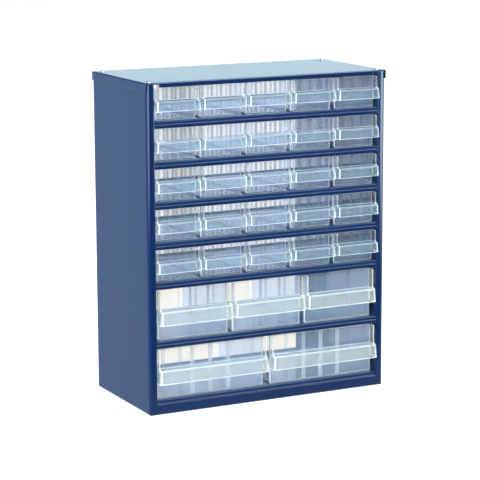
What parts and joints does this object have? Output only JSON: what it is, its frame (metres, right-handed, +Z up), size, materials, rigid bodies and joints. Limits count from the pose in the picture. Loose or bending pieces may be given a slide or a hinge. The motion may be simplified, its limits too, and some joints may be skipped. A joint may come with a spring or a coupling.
{
  "type": "parts bin cabinet",
  "caption": "Steel cabinet with rows of small, medium and large clear plastic drawers for hardware; each drawer slides on a shelf and has a channel handle",
  "frame": {"origin": "on the ground, under the middle of the box round the whole cabinet with its drawers closed", "axes": "+Z up, +X to the right as seen from the front, -Y out of the front"},
  "size_m": [0.306, 0.1564, 0.378],
  "materials": {
    "painted_steel": "semi-gloss blue paint",
    "clear_plastic": "clear, slightly milky moulded plastic",
    "rivet_metal": "plain drawn metal"
  },
  "bodies": {
    "cabinet": {"casing": "painted_steel", "lid": "painted_steel", "lid_rivets": "rivet_metal", "floor_shelf": "painted_steel", "shelf_1": "painted_steel", "shelf_2": "painted_steel", "shelf_3": "painted_steel", "shelf_4": "painted_steel", "shelf_5": "painted_steel", "shelf_6": "painted_steel"},
    "small_drawer_r1c1": {"small_drawer_r1c1": "clear_plastic"},
    "small_drawer_r1c2": {"small_drawer_r1c2": "clear_plastic"},
    "small_drawer_r1c3": {"small_drawer_r1c3": "clear_plastic"},
    "small_drawer_r1c4": {"small_drawer_r1c4": "clear_plastic"},
    "small_drawer_r1c5": {"small_drawer_r1c5": "clear_plastic"},
    "small_drawer_r2c1": {"small_drawer_r2c1": "clear_plastic"},
    "small_drawer_r2c2": {"small_drawer_r2c2": "clear_plastic"},
    "small_drawer_r2c3": {"small_drawer_r2c3": "clear_plastic"},
    "small_drawer_r2c4": {"small_drawer_r2c4": "clear_plastic"},
    "small_drawer_r2c5": {"small_drawer_r2c5": "clear_plastic"},
    "small_drawer_r3c1": {"small_drawer_r3c1": "clear_plastic"},
    "small_drawer_r3c2": {"small_drawer_r3c2": "clear_plastic"},
    "small_drawer_r3c3": {"small_drawer_r3c3": "clear_plastic"},
    "small_drawer_r3c4": {"small_drawer_r3c4": "clear_plastic"},
    "small_drawer_r3c5": {"small_drawer_r3c5": "clear_plastic"},
    "small_drawer_r4c1": {"small_drawer_r4c1": "clear_plastic"},
    "small_drawer_r4c2": {"small_drawer_r4c2": "clear_plastic"},
    "small_drawer_r4c3": {"small_drawer_r4c3": "clear_plastic"},
    "small_drawer_r4c4": {"small_drawer_r4c4": "clear_plastic"},
    "small_drawer_r4c5": {"small_drawer_r4c5": "clear_plastic"},
    "small_drawer_r5c1": {"small_drawer_r5c1": "clear_plastic"},
    "small_drawer_r5c2": {"small_drawer_r5c2": "clear_plastic"},
    "small_drawer_r5c3": {"small_drawer_r5c3": "clear_plastic"},
    "small_drawer_r5c4": {"small_drawer_r5c4": "clear_plastic"},
    "small_drawer_r5c5": {"small_drawer_r5c5": "clear_plastic"},
    "medium_drawer_c1": {"medium_drawer_c1": "clear_plastic"},
    "medium_drawer_c2": {"medium_drawer_c2": "clear_plastic"},
    "medium_drawer_c3": {"medium_drawer_c3": "clear_plastic"},
    "large_drawer_c1": {"large_drawer_c1": "clear_plastic"},
    "large_drawer_c2": {"large_drawer_c2": "clear_plastic"}
  },
  "joints": [
    {"name": "small_drawer_r1c1_slide", "type": "slide", "parent": "cabinet", "child": "small_drawer_r1c1", "axis": [0, -1, 0], "range_m": [0, 0.1364]},
    {"name": "small_drawer_r1c2_slide", "type": "slide", "parent": "cabinet", "child": "small_drawer_r1c2", "axis": [0, -1, 0], "range_m": [0, 0.1364]},
    {"name": "small_drawer_r1c3_slide", "type": "slide", "parent": "cabinet", "child": "small_drawer_r1c3", "axis": [0, -1, 0], "range_m": [0, 0.1364]},
    {"name": "small_drawer_r1c4_slide", "type": "slide", "parent": "cabinet", "child": "small_drawer_r1c4", "axis": [0, -1, 0], "range_m": [0, 0.1364]},
    {"name": "small_drawer_r1c5_slide", "type": "slide", "parent": "cabinet", "child": "small_drawer_r1c5", "axis": [0, -1, 0], "range_m": [0, 0.1364]},
    {"name": "small_drawer_r2c1_slide", "type": "slide", "parent": "cabinet", "child": "small_drawer_r2c1", "axis": [0, -1, 0], "range_m": [0, 0.1364]},
    {"name": "small_drawer_r2c2_slide", "type": "slide", "parent": "cabinet", "child": "small_drawer_r2c2", "axis": [0, -1, 0], "range_m": [0, 0.1364]},
    {"name": "small_drawer_r2c3_slide", "type": "slide", "parent": "cabinet", "child": "small_drawer_r2c3", "axis": [0, -1, 0], "range_m": [0, 0.1364]},
    {"name": "small_drawer_r2c4_slide", "type": "slide", "parent": "cabinet", "child": "small_drawer_r2c4", "axis": [0, -1, 0], "range_m": [0, 0.1364]},
    {"name": "small_drawer_r2c5_slide", "type": "slide", "parent": "cabinet", "child": "small_drawer_r2c5", "axis": [0, -1, 0], "range_m": [0, 0.1364]},
    {"name": "small_drawer_r3c1_slide", "type": "slide", "parent": "cabinet", "child": "small_drawer_r3c1", "axis": [0, -1, 0], "range_m": [0, 0.1364]},
    {"name": "small_drawer_r3c2_slide", "type": "slide", "parent": "cabinet", "child": "small_drawer_r3c2", "axis": [0, -1, 0], "range_m": [0, 0.1364]},
    {"name": "small_drawer_r3c3_slide", "type": "slide", "parent": "cabinet", "child": "small_drawer_r3c3", "axis": [0, -1, 0], "range_m": [0, 0.1364]},
    {"name": "small_drawer_r3c4_slide", "type": "slide", "parent": "cabinet", "child": "small_drawer_r3c4", "axis": [0, -1, 0], "range_m": [0, 0.1364]},
    {"name": "small_drawer_r3c5_slide", "type": "slide", "parent": "cabinet", "child": "small_drawer_r3c5", "axis": [0, -1, 0], "range_m": [0, 0.1364]},
    {"name": "small_drawer_r4c1_slide", "type": "slide", "parent": "cabinet", "child": "small_drawer_r4c1", "axis": [0, -1, 0], "range_m": [0, 0.1364]},
    {"name": "small_drawer_r4c2_slide", "type": "slide", "parent": "cabinet", "child": "small_drawer_r4c2", "axis": [0, -1, 0], "range_m": [0, 0.1364]},
    {"name": "small_drawer_r4c3_slide", "type": "slide", "parent": "cabinet", "child": "small_drawer_r4c3", "axis": [0, -1, 0], "range_m": [0, 0.1364]},
    {"name": "small_drawer_r4c4_slide", "type": "slide", "parent": "cabinet", "child": "small_drawer_r4c4", "axis": [0, -1, 0], "range_m": [0, 0.1364]},
    {"name": "small_drawer_r4c5_slide", "type": "slide", "parent": "cabinet", "child": "small_drawer_r4c5", "axis": [0, -1, 0], "range_m": [0, 0.1364]},
    {"name": "small_drawer_r5c1_slide", "type": "slide", "parent": "cabinet", "child": "small_drawer_r5c1", "axis": [0, -1, 0], "range_m": [0, 0.1364]},
    {"name": "small_drawer_r5c2_slide", "type": "slide", "parent": "cabinet", "child": "small_drawer_r5c2", "axis": [0, -1, 0], "range_m": [0, 0.1364]},
    {"name": "small_drawer_r5c3_slide", "type": "slide", "parent": "cabinet", "child": "small_drawer_r5c3", "axis": [0, -1, 0], "range_m": [0, 0.1364]},
    {"name": "small_drawer_r5c4_slide", "type": "slide", "parent": "cabinet", "child": "small_drawer_r5c4", "axis": [0, -1, 0], "range_m": [0, 0.1364]},
    {"name": "small_drawer_r5c5_slide", "type": "slide", "parent": "cabinet", "child": "small_drawer_r5c5", "axis": [0, -1, 0], "range_m": [0, 0.1364]},
    {"name": "medium_drawer_c1_slide", "type": "slide", "parent": "cabinet", "child": "medium_drawer_c1", "axis": [0, -1, 0], "range_m": [0, 0.1364]},
    {"name": "medium_drawer_c2_slide", "type": "slide", "parent": "cabinet", "child": "medium_drawer_c2", "axis": [0, -1, 0], "range_m": [0, 0.1364]},
    {"name": "medium_drawer_c3_slide", "type": "slide", "parent": "cabinet", "child": "medium_drawer_c3", "axis": [0, -1, 0], "range_m": [0, 0.1364]},
    {"name": "large_drawer_c1_slide", "type": "slide", "parent": "cabinet", "child": "large_drawer_c1", "axis": [0, -1, 0], "range_m": [0, 0.1364]},
    {"name": "large_drawer_c2_slide", "type": "slide", "parent": "cabinet", "child": "large_drawer_c2", "axis": [0, -1, 0], "range_m": [0, 0.1364]}
  ]
}
